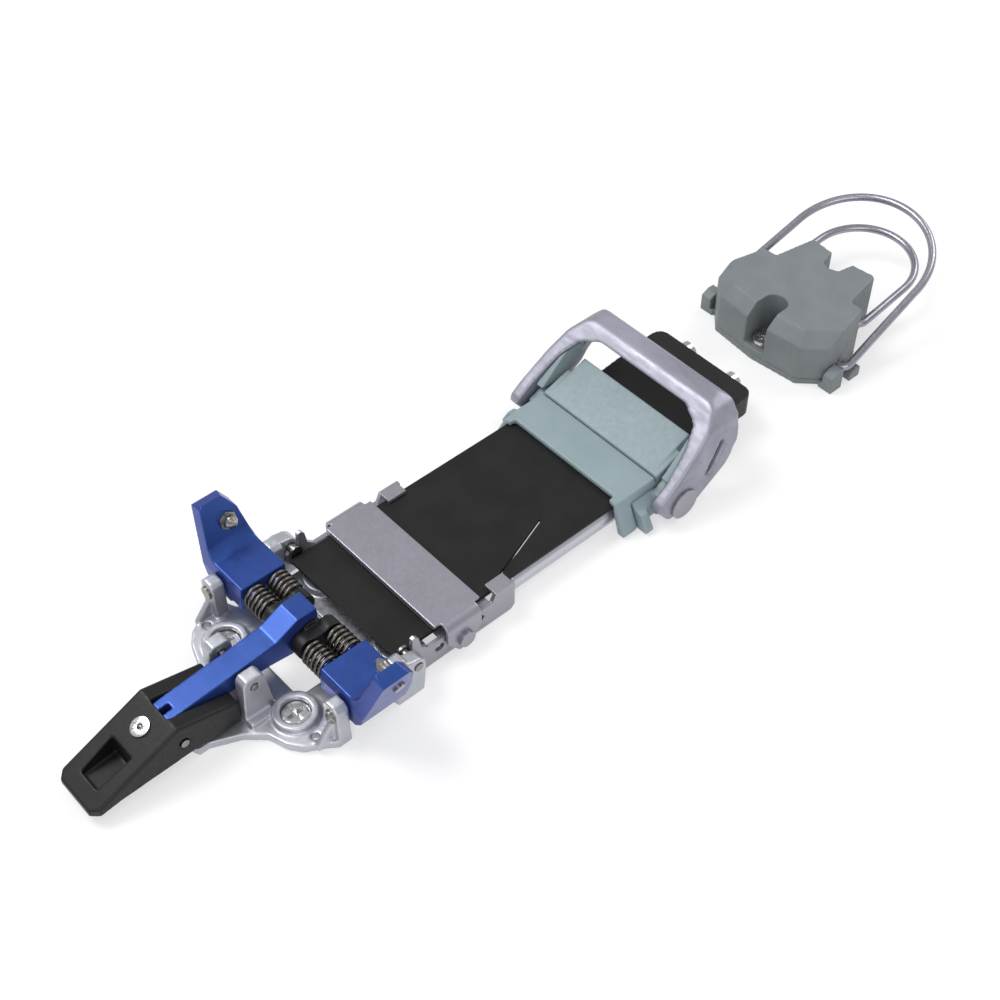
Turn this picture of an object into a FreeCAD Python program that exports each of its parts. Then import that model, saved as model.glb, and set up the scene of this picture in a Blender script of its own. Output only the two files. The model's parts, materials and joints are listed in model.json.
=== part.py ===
"""Touring binding: a tech toe with a sprung flex frame, a second-heel claw and a heel post.

Millimetres. X is across the ski, +Y runs towards the heel, +Z is up. Z = 0 is the top of the ski and
the origin is the centre of the four toe screws. Every size is a cell of the sheet "sizes", and the
features are bound to those cells.
"""
import FreeCAD, Part
import os
import re
import Sketcher

SIZES = {
    # toe base casting and its screws
    "base_thick": 3.2, "base_rear": 27.5, "base_half": 27.5,
    "nose_front": 51.0, "nose_half": 9.4,
    "pad_front": 28.5, "pad_side": 34.4,
    "toe_screw_x": 18.4, "toe_screw_y": 19.8,
    "boss_r": 7.4, "boss_top": 5.6, "screw_seat": 1.4,
    "screw_head_r": 4.5, "screw_head_high": 2.4, "screw_shank_r": 2.75, "screw_depth": 9.0,
    "screw_gap": 0.1, "head_gap": 0.3, "screw_neck": 0.6,
    "window_half": 13.5, "window_front": 15.0, "window_rear": 9.0,
    "peg_hole_x": 28.6, "peg_hole_y": 20.2, "peg_hole_r": 1.3,
    # inner ears and the lever axle
    "axle_y": -28.0, "axle_z": 17.2, "axle_r": 1.25,
    "ear_in": 6.3, "ear_out": 10.9, "ear_top": 21.2,
    # outer ears, wing pivots and hook lugs
    "wing_axle_x": 32.0, "wing_axle_z": 13.0, "wing_axle_r": 1.5,
    "outer_ear_top": 18.0, "outer_ear_thick": 4.6, "outer_ear_in": 28.5, "outer_ear_out": 35.3,
    "side_gap": 0.4, "fit_gap": 0.05,
    "hook_y": 15.5, "hook_z": 12.5, "hook_pin_r": 1.5, "lug_in": 30.4,
    # lever
    "lever_half": 10.1, "lever_tip": 86.4, "lever_tip_half": 7.6,
    "kink_y": -54.7, "kink_z": 19.4, "lever_rear": -33.8, "lever_rear_z": 14.0,
    "lever_slope": 23.0, "lever_bottom": 4.4, "lever_tip_thick": 2.6,
    "pole_front": -80.8, "pole_rear": -68.5, "pole_front_half": 4.3, "pole_rear_half": 5.2,
    "pole_floor": 1.6,
    "rivet_y": -61.4, "rivet_r": 3.2, "rivet_shank_r": 1.7, "rivet_bore_r": 1.0,
    "rivet_head": 0.7, "rivet_long": 8.0,
    "cross_y": -53.5, "cross_z": 11.6, "cross_r": 1.4, "cross_proud": 0.35,
    # blue arm
    "arm_half": 4.4, "arm_front": -54.5, "arm_front_z": 17.4, "arm_mid_y": -24.8,
    "arm_mid_z": 19.8, "arm_thick": 3.4, "arm_floor": 12.2, "block_top": 24.8,
    "block_front": -6.3, "block_rear": 1.0, "notch_half": 1.2, "notch_long": 3.6,
    # spring guide and springs
    "row_mid_y": -2.1, "row_step": 9.0, "guide_z": 15.8, "saddle_r": 5.0, "neck_r": 4.6,
    "barrel_r": 4.1, "guide_half": 9.6, "spigot_r": 2.2, "spigot_long": 2.6,
    "spring_r": 3.7, "wire_r": 0.65, "spring_turns": 5,
    # wings
    "wing_in": 20.3, "wing_front": -11.0, "wing_rear": 6.8, "wing_top": 19.9,
    "wing_bottom": 8.8, "wing_shelf": 10.6, "wing_lean": 20.0, "wing_plate": 5.0,
    "wing_peak": 36.8, "wing_root_x": 37.5, "wing_round": 5.0,
    "wing_front_top": -7.5, "wing_rear_top": 1.0, "wing_rear_low": 30.9, "wing_rear_side": 4.9,
    "pin_x": 40.7, "pin_y": 0.0, "pin_z": 28.7, "pin_long": 5.4, "pin_r": 2.2, "pin_tip_r": 0.7,
    "pin_collar_r": 3.3, "pin_collar": 1.2, "pin_tail": 0.8, "pin_hole_gap": 0.02,
    # bracket, strap and flex plate
    "wall_in": 28.3, "wall_thick": 1.5, "wall_bottom": 0.4, "wall_top": 9.8, "bracket_rear": 60.0,
    "web_front": 29.0, "web_rear": 50.0, "tab_front": 52.0, "tab_long": 4.0, "tab_gap": 0.2,
    "rivet_pin_y": 37.5, "rivet_pin_z": 5.0, "rivet_pin_r": 1.9, "rivet_pin_head": 3.0,
    "strap_front": 28.1, "strap_rear": 46.9, "strap_half": 27.6, "strap_thick": 1.2, "strap_top": 14.2,
    "strap_flange_in": 30.2, "strap_flange": 1.3, "strap_bend": 3.4, "strap_lip": 1.1,
    "flange_half": 7.0, "flange_foot": 4.4,
    "plate_half": 26.5, "plate_front": 12.4, "plate_rear": 170.0, "plate_bottom": 10.1,
    "plate_thick": 1.5, "slit_wide": 0.8, "slit_end_x": 14.3,
    # cartridges
    "tube_x": 22.0, "tube_z": 5.1, "tube_r": 4.6, "tube_wall": 1.0, "tube_front": 62.0,
    "tube_end_wall": 2.5, "rod_r": 1.4, "rod_front": 50.6, "piston_r": 3.5, "piston_thick": 3.0,
    "coil_wire_r": 0.6, "coil_pitch": 2.3, "coil_turns": 17, "coil_gap": 0.15,
    # claw
    "claw_front": 109.3, "claw_seam": 125.6, "claw_top": 13.8, "claw_half": 27.9,
    "claw_front_half": 25.6, "leg_front": 107.0, "leg_rear": 113.4, "leg_foot": 33.0,
    "carrier_front": 114.0, "carrier_rear": 124.0, "carrier_half": 32.6, "carrier_foot": 37.0,
    "tube_stop": 122.0,
    # bail and pedal
    "bail_y": 129.9, "bail_z": 6.2, "bail_pin_r": 2.9, "bail_head_r": 5.75, "bail_head": 0.9,
    "bail_out": 38.0, "bail_arm": 5.0, "bail_top_out": 34.9, "bail_top": 34.4, "bail_bar": 4.2,
    "bail_boss_r": 5.8,
    "bail_bar_front": 148.0, "bail_bar_rear": 158.7, "bail_slot_wide": 2.4,
    "liner_out": 32.6, "liner_thick": 3.0,
    "pedal_front": 126.2, "pedal_rear": 143.9, "pedal_rear_z": 20.9, "pedal_half": 25.9,
    "pedal_ear": 1.4,
    # rear end
    "end_front": 146.0, "end_rear": 180.4, "end_half": 23.1, "end_top": 15.6, "end_bottom": 6.4,
    "end_flange": 172.0, "end_round": 4.0, "end_screw_x": 11.0, "end_screw_z": 10.9,
    "end_screw_r": 2.0, "end_head_r": 3.7, "end_head": 3.2,
    # heel post
    "post_front": 206.5, "post_side": 27.9, "post_top": 22.0, "post_plate": 2.4,
    "post_rear": 255.8, "nose_post_half": 18.4, "nose_end_half": 15.5, "shoulder_y": 238.0,
    "shoulder_half": 24.2, "post_bevel": 5.0,
    "slot_half": 4.75, "slot_end": 216.4, "slot_floor": 5.0, "post_screw_y": 212.3,
    "heel_screw_x": 12.0, "heel_screw_front": 220.0, "heel_screw_rear": 244.0,
    "wire_thick_r": 1.5, "high_y": 222.3, "high_z": 6.2, "high_half": 31.3, "high_end": 29.0,
    "high_long": 71.0, "high_tilt": 18.0, "wire_grip": 4.0,
    "low_y": 242.0, "low_z": 9.5, "low_half": 21.4, "low_end": 20.6, "low_long": 46.5,
    "low_tilt": 6.5, "lug_half": 32.8, "lug_high": 8.5, "lug_low": 4.4,
}

doc = FreeCAD.newDocument("touring_binding")
sheet = doc.addObject("Spreadsheet::Sheet", "sizes")
parts = []


def fill_sheet():
    """Write each driving dimension in a row of the sheet and give the cell its alias."""
    for row, (name, value) in enumerate(SIZES.items(), start=1):
        sheet.set(f"A{row}", name)
        sheet.set(f"B{row}", str(value))
        sheet.setAlias(f"B{row}", name)
    doc.recompute()


def ex(text):
    """The expression with every size's name pointing at its cell."""
    return re.sub(r"[a-z_]\w*", lambda m: f"sizes.{m[0]}" if m[0] in SIZES else m[0], str(text))


def val(text):
    """The number that an expression of the sheet's sizes gives now."""
    found = sheet.evalExpression(ex(text))
    return float(getattr(found, "Value", found))


def bind(thing, **sizes):
    """Bind properties of an object to expressions of the sheet."""
    for name, text in sizes.items():
        thing.setExpression(name, ex(text))
    return thing


def place(thing, x="0", y="0", z="0", about=None, angle=None):
    """Bind an object's position, and its turn about an axis, to the sheet."""
    if about is not None:
        thing.Placement = FreeCAD.Placement(FreeCAD.Vector(), FreeCAD.Rotation(FreeCAD.Vector(*about), val(angle)))
        thing.setExpression("Placement.Rotation.Angle", f"({ex(angle)}) * 1 deg")
    for side, text in (("x", x), ("y", y), ("z", z)):
        thing.setExpression(f"Placement.Base.{side}", ex(text))
    return thing


def keep(thing, label):
    """Give a finished sub-part its name and list it for export."""
    thing.Label = label
    parts.append(thing)
    return thing


# --- bodies made of sketches, pads and pockets --------------------------------------------------

PLANES = {"X": "YZ_Plane", "Y": "XZ_Plane", "Z": "XY_Plane"}


def new_body(name):
    return doc.addObject("PartDesign::Body", name)


def ring(x, y, r):
    """A circle for a sketch: centre and radius."""
    return ("circle", x, y, r)


def both(points):
    """The closed outline whose right half is given from front to rear, mirrored on X = 0."""
    return list(points) + [(f"-({x})", y) for x, y in reversed(points) if x != "0"]


def left_of(loop):
    """A loop mirrored to the other side of X = 0."""
    if loop[0] == "circle":
        return ring(f"-({loop[1]})", loop[2], loop[3])
    return [(f"-({x})", y) for x, y in loop]


def pair(*loops):
    """Loops and their mirror images."""
    return [*loops, *(left_of(loop) for loop in loops)]


def box_loop(x0, y0, x1, y1):
    return [(x0, y0), (x1, y0), (x1, y1), (x0, y1)]


def pin_to(sketch, kind, geo, point, text):
    """Hold one coordinate of a sketch point at an expression."""
    mark = sketch.addConstraint(Sketcher.Constraint(kind, -1, 1, geo, point, val(text)))
    sketch.setExpression(f"Constraints[{mark}]", ex(text))


def draw_circle(sketch, x, y, r):
    centre = FreeCAD.Vector(val(x), val(y), 0)
    geo = sketch.addGeometry(Part.Circle(centre, FreeCAD.Vector(0, 0, 1), val(r)))
    pin_to(sketch, "DistanceX", geo, 3, x)
    pin_to(sketch, "DistanceY", geo, 3, y)
    mark = sketch.addConstraint(Sketcher.Constraint("Radius", geo, val(r)))
    sketch.setExpression(f"Constraints[{mark}]", ex(r))


def draw_outline(sketch, points):
    first = sketch.GeometryCount
    corners = [FreeCAD.Vector(val(x), val(y), 0) for x, y in points]
    for start, end in zip(corners, corners[1:] + corners[:1]):
        sketch.addGeometry(Part.LineSegment(start, end))
    for step, (x, y) in enumerate(points):
        after = first + (step + 1) % len(points)
        sketch.addConstraint(Sketcher.Constraint("Coincident", first + step, 2, after, 1))
        pin_to(sketch, "DistanceX", first + step, 1, x)
        pin_to(sketch, "DistanceY", first + step, 1, y)


def draw(body, along, offset, loops):
    """A sketch square to an axis, at an offset along the plane's own normal."""
    role = PLANES[along]
    sketch = body.newObject("Sketcher::SketchObject", body.Name + "_sketch")
    sketch.AttachmentSupport = [(next(f for f in body.Origin.OriginFeatures if f.Role == role), "")]
    sketch.MapMode = "FlatFace"
    sketch.setExpression(".AttachmentOffset.Base.z", ex(offset))
    for loop in loops:
        if loop[0] == "circle":
            draw_circle(sketch, *loop[1:])
        else:
            draw_outline(sketch, loop)
    return sketch


def pad(body, along, low, high, *loops):
    """Add material from low to high along an axis. The XZ plane's normal is -Y."""
    offset = f"-({high})" if along == "Y" else low
    feature = body.newObject("PartDesign::Pad", body.Name + "_pad")
    feature.Profile = draw(body, along, offset, loops)
    bind(feature, Length=f"({high}) - ({low})")
    doc.recompute()
    return feature


def pocket(body, along, low, high, *loops):
    """Cut away from low to high along an axis, and make sure that something was cut."""
    offset = f"-({low})" if along == "Y" else high
    before = body.Shape.Volume
    feature = body.newObject("PartDesign::Pocket", body.Name + "_pocket")
    feature.Profile = draw(body, along, offset, loops)
    bind(feature, Length=f"({high}) - ({low})")
    doc.recompute()
    if not body.Shape.Volume < before:
        raise ValueError(f"a pocket of {body.Name} cuts nothing")
    return feature


def edges_where(body, test):
    """The names of the edges whose middle point and direction pass a test."""
    names = []
    for number, edge in enumerate(body.Shape.Edges, start=1):
        middle = edge.valueAt((edge.FirstParameter + edge.LastParameter) / 2)
        way = (edge.lastVertex().Point - edge.firstVertex().Point)
        way = way.normalize() if way.Length > 1e-6 else way
        if test(middle, way):
            names.append(f"Edge{number}")
    return names


def soften(body, kind, size, test):
    """Round ("Fillet") or bevel ("Chamfer") the edges that pass a test."""
    names = edges_where(body, test)
    if not names:
        raise ValueError(f"no edge of {body.Name} to soften")
    base = body.Tip
    feature = body.newObject(f"PartDesign::{kind}", body.Name + "_" + kind.lower())
    feature.Base = (base, names)
    bind(feature, **{"Radius" if kind == "Fillet" else "Size": size})
    doc.recompute()
    return feature


def near(a, text, slack=0.05):
    return abs(a - val(text)) < slack


# --- pieces made of primitives ------------------------------------------------------------------

TURN = {"X": ((0, 1, 0), "90"), "Y": ((1, 0, 0), "-90"), "Z": (None, None)}


def rod(name, r, low, high, x="0", y="0", z="0", along="Z"):
    """A cylinder from low to high along an axis, through the point given by the other two."""
    thing = bind(doc.addObject("Part::Cylinder", name), Radius=r, Height=f"({high}) - ({low})")
    at = {"x": x, "y": y, "z": z, along.lower(): low}
    about, angle = TURN[along]
    return place(thing, at["x"], at["y"], at["z"], about, angle)


def fuse(name, *shapes):
    thing = doc.addObject("Part::MultiFuse", name)
    thing.Shapes = list(shapes)
    return thing


def cut(name, base, *tools):
    thing = doc.addObject("Part::Cut", name)
    thing.Base = base
    thing.Tool = tools[0] if len(tools) == 1 else fuse(name + "_tools", *tools)
    return thing


def group(name, *solids):
    """Separate solids that share one node."""
    thing = doc.addObject("Part::Compound", name)
    thing.Links = list(solids)
    return thing


def coil(name, r, wire, pitch, turns, x, y, z, along):
    """A helical spring that starts at a point and runs along an axis."""
    spine = doc.addObject("Part::Helix", name + "_spine")
    bind(spine, Radius=r, Pitch=pitch, Height=f"({pitch}) * ({turns})")
    section = bind(doc.addObject("Part::Circle", name + "_wire"), Radius=wire)
    place(section, r, "0", "0", (1, 0, 0), "90")
    sweep = doc.addObject("Part::Sweep", name)
    sweep.Sections = [section]
    sweep.Spine = (spine, ["Edge1"])
    sweep.Solid = True
    sweep.Frenet = True
    about, angle = TURN[along]
    return place(sweep, x, y, z, about, angle)


# --- toe base and what is fixed in it -----------------------------------------------------------

def toe_screw_spots():
    return [(x, y) for x in ("-toe_screw_x", "toe_screw_x") for y in ("-toe_screw_y", "toe_screw_y")]


def base_outline():
    """Right half of the casting seen from above, from the nose back to the rear edge."""
    ear_front = "wing_front - side_gap - outer_ear_thick"
    return [
        ("nose_half * 0.6", "-nose_front"), ("nose_half", "-nose_front + 1.6"),
        ("nose_half", "-nose_front + 5.4"), ("nose_half + 4.1", "-nose_front + 14.5"),
        ("toe_screw_x + 0.2", "-pad_front - 2.3"), ("toe_screw_x + 7", "-pad_front"),
        ("pad_side - 5", "-pad_front + 3"), ("pad_side - 1.2", "-pad_front + 9.5"),
        ("outer_ear_out", ear_front), ("outer_ear_out", "wing_front - side_gap"),
        ("outer_ear_in", "wing_front + 2.5"), ("outer_ear_in", "wing_rear - 2"),
        ("outer_ear_out", "wing_rear + side_gap"), ("outer_ear_out", "hook_y + 2"),
        ("lug_in", "hook_y + 2"), ("lug_in", "wing_rear + side_gap + outer_ear_thick"),
        ("base_half", "wing_rear + side_gap + outer_ear_thick"), ("base_half", "base_rear - 4"),
        ("base_half - 4", "base_rear"),
    ]


def inner_ear_side():
    """Side view of an inner ear: it tapers from a broad foot to the top."""
    return [
        ("lever_rear + 0.5", "1"), ("axle_y - 3.9", "axle_z + 2.4"), ("axle_y - 2.6", "ear_top"),
        ("axle_y + 2.6", "ear_top"), ("axle_y + 3.9", "axle_z + 2.4"), ("axle_y + 6.5", "1"),
    ]


def outer_ear_front():
    """Front view of an outer ear around the wing's axle."""
    return [
        ("outer_ear_in", "1"), ("outer_ear_in", "outer_ear_top - 1.4"),
        ("outer_ear_in + 1.4", "outer_ear_top"), ("outer_ear_out - 1.8", "outer_ear_top"),
        ("outer_ear_out", "outer_ear_top - 1.8"), ("outer_ear_out", "1"),
    ]


def lug_side():
    """Side view of the rear lug that carries the hook pin."""
    back = "wing_rear + side_gap + outer_ear_thick"
    return [
        (f"{back} - 0.5", "1"), ("hook_y + 2", "1"), ("hook_y + 3", "hook_z - 3"),
        ("hook_y + 2.8", "hook_z + 1.6"), ("hook_y + 0.8", "hook_z + 3.4"),
        (f"{back} - 0.5", "outer_ear_top - 1"),
    ]


def make_toe_base():
    body = new_body("toe_base")
    pad(body, "Z", "0", "base_thick", both(base_outline()))
    pad(body, "Z", "0", "boss_top", *(ring(x, y, "boss_r") for x, y in toe_screw_spots()))
    front = ("wing_front - side_gap - outer_ear_thick", "wing_front - side_gap")
    rear = ("wing_rear + side_gap", "wing_rear + side_gap + outer_ear_thick")
    for low, high in (front, rear):
        pad(body, "Y", low, high, *pair(outer_ear_front()))
    pad(body, "X", "ear_in", "ear_out", inner_ear_side())
    pad(body, "X", "-ear_out", "-ear_in", inner_ear_side())
    pad(body, "Z", "0", "base_thick + 1.4",
        *pair(box_loop("ear_out - 0.5", "axle_y - 5", "ear_out + 3.4", "axle_y + 4")))
    pad(body, "X", "lug_in", "outer_ear_out", lug_side())
    pad(body, "X", "-outer_ear_out", "-lug_in", lug_side())
    rib = [(front[0] + " + 1", "1"), (front[0] + " + 1", "wing_axle_z - 1"), ("-peg_hole_y - 2", "base_thick")]
    rib.append(("-peg_hole_y - 2", "1"))
    pad(body, "X", "outer_ear_out - 4.6", "outer_ear_out - 2.4", rib)
    pad(body, "X", "-outer_ear_out + 2.4", "-outer_ear_out + 4.6", rib)
    cut_base_holes(body)
    return keep(body, "toe_base")


def cut_base_holes(body):
    seats = [ring(x, y, "screw_head_r + head_gap") for x, y in toe_screw_spots()]
    pocket(body, "Z", "screw_seat", "boss_top + 1", *seats)
    holes = [ring(x, y, "screw_shank_r + screw_gap") for x, y in toe_screw_spots()]
    pocket(body, "Z", "-1", "screw_seat + 0.5", *holes)
    pocket(body, "Z", "-1", "base_thick + 1", *pair(ring("peg_hole_x", "-peg_hole_y", "peg_hole_r")))
    window = box_loop("-window_half", "-window_front", "window_half", "window_rear")
    pocket(body, "Z", "-1", "base_thick + 1", window)
    pocket(body, "Y", "wing_front - side_gap - outer_ear_thick - 1",
           "wing_rear + side_gap + outer_ear_thick - 0.5",
           *pair(ring("wing_axle_x", "wing_axle_z", "wing_axle_r + fit_gap")))
    pocket(body, "X", "-ear_out - 1", "ear_out + 1", ring("axle_y", "axle_z", "axle_r + fit_gap"))
    pocket(body, "X", "-outer_ear_out - 1", "outer_ear_out + 1",
           ring("hook_y", "hook_z", "hook_pin_r + fit_gap"))


def wood_screw(name, x, y, seat):
    """A countersunk-style screw: low round head with a cross recess, and a blunt threaded shank."""
    head = rod(name + "_head", "screw_head_r", seat, f"{seat} + screw_head_high", x=x, y=y)
    neck = rod(name + "_neck", "screw_shank_r - screw_neck", "-0.5", f"{seat} + 0.5", x=x, y=y)
    shank = rod(name + "_shank", "screw_shank_r", "-screw_depth", "0", x=x, y=y)
    whole = fuse(name + "_whole", head, neck, shank)
    slots = []
    for number, (wide, long) in enumerate((("1.4", "6"), ("6", "1.4"))):
        slot = bind(doc.addObject("Part::Box", f"{name}_slot{number}"), Length=wide, Width=long, Height="2")
        slots.append(place(slot, f"{x} - ({wide}) / 2", f"{y} - ({long}) / 2", f"{seat} + screw_head_high - 1.4"))
    return cut(name, whole, *slots)


def make_toe_fasteners():
    screws = [wood_screw(f"toe_screw{n}", x, y, "screw_seat") for n, (x, y) in enumerate(toe_screw_spots())]
    keep(group("toe_screws", *screws), "toe_screws")
    keep(rod("lever_axle", "axle_r", "-ear_out - 0.4", "ear_out + 0.4", y="axle_y", z="axle_z", along="X"),
         "lever_axle")
    for side, sign in (("left", "-"), ("right", "")):
        x = f"{sign}wing_axle_x"
        front = "wing_front - side_gap - outer_ear_thick"
        shaft = rod(f"axle_{side}_shaft", "wing_axle_r", front,
                    "wing_rear + side_gap + outer_ear_thick - 0.6", x=x, z="wing_axle_z", along="Y")
        head = rod(f"axle_{side}_head", "wing_axle_r + 0.9", f"{front} - 0.8", front, x=x, z="wing_axle_z",
                   along="Y")
        keep(fuse(f"wing_axle_{side}", shaft, head), f"wing_axle_{side}")
    keep(group("hook_pins", *(hook_pin(side) for side in (-1, 1))), "hook_pins")


def span(side, low, high):
    """A stretch on one side of X = 0, low edge first."""
    return (low, high) if side > 0 else (f"-({high})", f"-({low})")


def hook_pin(side):
    name = "hook_pin_right" if side > 0 else "hook_pin_left"
    shank = rod(name + "_shank", "hook_pin_r", *span(side, "wall_in - 0.4", "outer_ear_out + 0.3"),
                y="hook_y", z="hook_z", along="X")
    head = rod(name + "_head", "hook_pin_r + 1", *span(side, "wall_in - 1.4", "wall_in - 0.4"),
               y="hook_y", z="hook_z", along="X")
    return fuse(name, shank, head)


# --- lever and arm ------------------------------------------------------------------------------

def lever_side():
    """Side view: the top rises from the tip to the kink and falls to the rear edge."""
    fall = "tan(lever_slope * 1deg)"
    return [
        ("-lever_tip", f"kink_z - (kink_y + lever_tip) * {fall} - lever_tip_thick"),
        ("-lever_tip", f"kink_z - (kink_y + lever_tip) * {fall}"),
        ("kink_y", "kink_z"), ("lever_rear", "lever_rear_z"), ("lever_rear", "lever_bottom"),
        ("-nose_front - 1", "lever_bottom + 0.8"), ("pole_front + 4", "lever_bottom + 0.2"),
    ]


def arm_bed(front, drop):
    """The arm's underside in the lever, from its front end to the lever's rear edge."""
    return [
        (front, f"arm_front_z - arm_thick - {drop}"), ("kink_y + 14", f"arm_floor - {drop}"),
        ("lever_rear + 1", f"arm_floor - {drop}"),
    ]


def make_lever():
    body = new_body("lever_body")
    pad(body, "X", "-lever_half", "lever_half", lever_side())
    soften(body, "Chamfer", "lever_half - lever_tip_half",
           lambda m, w: abs(w.x) < 0.1 and near(m.y, "-lever_tip") and near(abs(m.x), "lever_half"))
    channel = [*arm_bed("arm_front - 0.3", "0"), ("lever_rear + 1", "kink_z + 2")]
    channel.append(("arm_front - 0.3", "kink_z + 2"))
    pocket(body, "X", "-arm_half - 0.3", "arm_half + 0.3", channel)
    pocket(body, "Z", "lever_bottom + pole_floor", "kink_z",
           both([("pole_front_half", "pole_front"), ("pole_rear_half", "pole_rear")]))
    pocket(body, "X", "-lever_half - 1", "lever_half + 1", ring("cross_y", "cross_z", "cross_r"))
    soften(body, "Fillet", "0.9", lambda m, w: abs(w.x) < 0.05 and near(abs(m.x), "lever_half", 0.02)
           and m.z > val("lever_bottom + 3") and abs(w.z) < 0.6 and m.y < val("lever_rear - 2"))
    drop = "kink_z - (rivet_y - kink_y) * -1 * tan(lever_slope * 1deg)"
    bore = rivet_rod("rivet_seat", "rivet_shank_r", "-rivet_long - 1", "1", drop)
    keep(cut("lever", body, bore), "lever")
    make_rivet(drop)
    keep(rod("lever_cross_pin", "cross_r", "-lever_half - cross_proud", "lever_half + cross_proud",
             y="cross_y", z="cross_z", along="X"), "lever_cross_pin")


def rivet_rod(name, r, low, high, top):
    """A cylinder square to the lever's sloping top, from low to high measured from that surface."""
    thing = bind(doc.addObject("Part::Cylinder", name), Radius=r, Height=f"({high}) - ({low})")
    lean = "lever_slope * 1deg"
    return place(thing, "0", f"rivet_y - ({low}) * sin({lean})", f"{top} + ({low}) * cos({lean})",
                 (1, 0, 0), "lever_slope")


def make_rivet(top):
    shank = rivet_rod("rivet_shank", "rivet_shank_r", "-rivet_long", "0.2", top)
    head = rivet_rod("rivet_head", "rivet_r", "0", "rivet_head", top)
    bore = rivet_rod("rivet_bore", "rivet_bore_r", "-2", "rivet_head + 1", top)
    keep(cut("lever_rivet", fuse("rivet_solid", shank, head), bore), "lever_rivet")


def make_arm():
    """The arm lies in the lever, turns on the axle and ends in a saddle over the spring guide."""
    body = new_body("lever_arm")
    outline = [
        ("arm_front", "arm_front_z"), ("arm_mid_y", "arm_mid_z"), ("arm_mid_y + 10", "arm_mid_z + 0.9"),
        ("block_front", "block_top"), ("block_rear", "block_top"), ("block_rear", "guide_z + 3"),
        ("row_mid_y - 4", "guide_z - 4.8"), ("row_mid_y - 8", "guide_z - 4.8"),
        ("arm_mid_y + 6", "arm_floor"), ("lever_rear + 1", "arm_floor"), ("kink_y + 14", "arm_floor"),
        ("arm_front", "arm_front_z - arm_thick"),
    ]
    pad(body, "X", "-arm_half", "arm_half", outline)
    pocket(body, "X", "-arm_half - 1", "arm_half + 1", ring("row_mid_y", "guide_z", "saddle_r"))
    pocket(body, "X", "-arm_half - 1", "arm_half + 1", ring("axle_y", "axle_z", "axle_r + fit_gap"))
    pocket(body, "Z", "arm_floor - 1", "arm_front_z + 1",
           box_loop("-notch_half", "arm_front - 1", "notch_half", "arm_front + notch_long"))
    keep(body, "lever_arm")


# --- spring guide, springs and wings ------------------------------------------------------------

ROWS = {"front": "row_mid_y - row_step / 2", "rear": "row_mid_y + row_step / 2"}


def make_guide():
    """Two barrels and a web on each side, and a round neck that turns in the arm's saddle."""
    pieces = [rod("guide_neck", "neck_r", "-arm_half - 0.5", "arm_half + 0.5", y="row_mid_y", z="guide_z",
                  along="X")]
    for side in (-1, 1):
        for row, y in ROWS.items():
            name = f"guide_{row}{'_right' if side > 0 else '_left'}"
            barrel = span(side, "arm_half + 0.4", "guide_half")
            pieces.append(rod(name, "barrel_r", *barrel, y=y, z="guide_z", along="X"))
            spigot = span(side, "guide_half - 0.5", "guide_half + spigot_long")
            pieces.append(rod(name + "_spigot", "spigot_r", *spigot, y=y, z="guide_z", along="X"))
        web = doc.addObject("Part::Box", f"guide_web{side + 1}")
        bind(web, Length="guide_half - arm_half - 0.4", Width="row_step", Height="barrel_r * 1.6")
        low = span(side, "arm_half + 0.4", "guide_half")[0]
        pieces.append(place(web, low, "row_mid_y - row_step / 2", "guide_z - barrel_r * 0.8"))
    keep(fuse("spring_guide", *pieces), "spring_guide")


def make_springs():
    """Each spring runs from the guide's barrel to the wing's inner end."""
    pitch = "(wing_in - guide_half - 2 * wire_r) / spring_turns"
    for side, name in ((-1, "left"), (1, "right")):
        start = span(side, "guide_half + wire_r", "wing_in - wire_r")[0]
        for row, y in ROWS.items():
            label = f"{row}_spring_{name}"
            keep(coil(label, "spring_r", "wire_r", pitch, "spring_turns", start, y, "guide_z", "X"), label)


def wing_front_view():
    """Front view of the right wing: a block on the axle and a plate that leans outward."""
    lean = "tan(wing_lean * 1deg)"
    peak_x = f"wing_root_x + (wing_peak - wing_top) * {lean}"
    out_x = f"{peak_x} + wing_plate * cos(wing_lean * 1deg)"
    out_z = "wing_peak - wing_plate * sin(wing_lean * 1deg)"
    return [
        ("wing_in", "wing_shelf"), ("wing_in", "wing_top"), ("wing_root_x", "wing_top"),
        (peak_x, "wing_peak"), (out_x, out_z),
        (f"{out_x} - ({out_z} - wing_shelf - 1) * {lean}", "wing_shelf + 1"),
        ("wing_root_x - 0.5", "wing_bottom"), ("wing_in + 7", "wing_bottom"),
        ("wing_in + 5", "wing_shelf"),
    ]


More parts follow.
